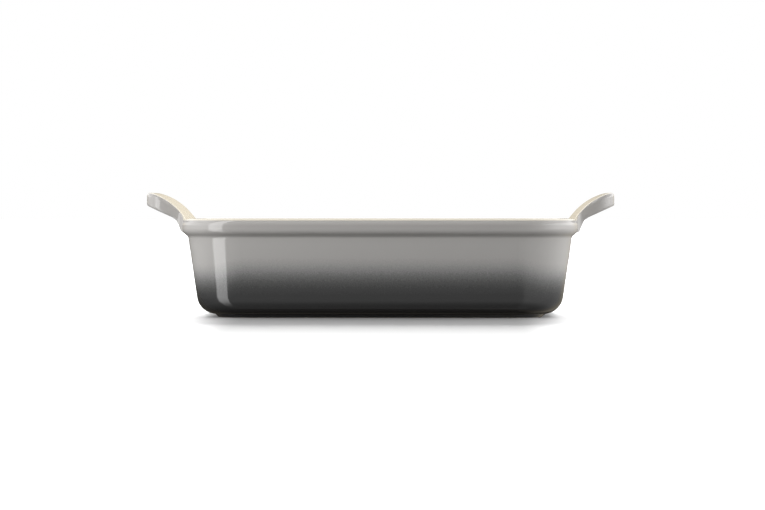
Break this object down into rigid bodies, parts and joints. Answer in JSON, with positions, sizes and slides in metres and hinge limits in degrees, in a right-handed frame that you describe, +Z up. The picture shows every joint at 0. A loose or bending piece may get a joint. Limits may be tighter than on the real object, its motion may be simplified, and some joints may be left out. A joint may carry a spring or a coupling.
{
  "type": "lasagna dish",
  "caption": "Deep rectangular baking dish in glazed stoneware, with a thick rim band and a broad upswept handle at each short end.",
  "frame": {"origin": "middle of the base, on the surface that the dish stands on", "axes": "+X from handle to handle, +Y towards the back of the picture, +Z up"},
  "size_m": [0.3936, 0.24, 0.1039],
  "materials": {
    "stoneware": "bare fired clay, fine sandy grain",
    "cream_glaze": "glossy cream glaze",
    "grey_glaze": "glossy sprayed glaze, mid grey shading to near black towards the foot",
    "dark_glaze": "glossy near-black glaze"
  },
  "bodies": {
    "root": {"stoneware_basin": "stoneware", "left_handle": "stoneware", "right_handle": "stoneware", "inner_glaze": "cream_glaze", "outer_glaze": "grey_glaze", "base_glaze": "dark_glaze"}
  },
  "joints": []
}
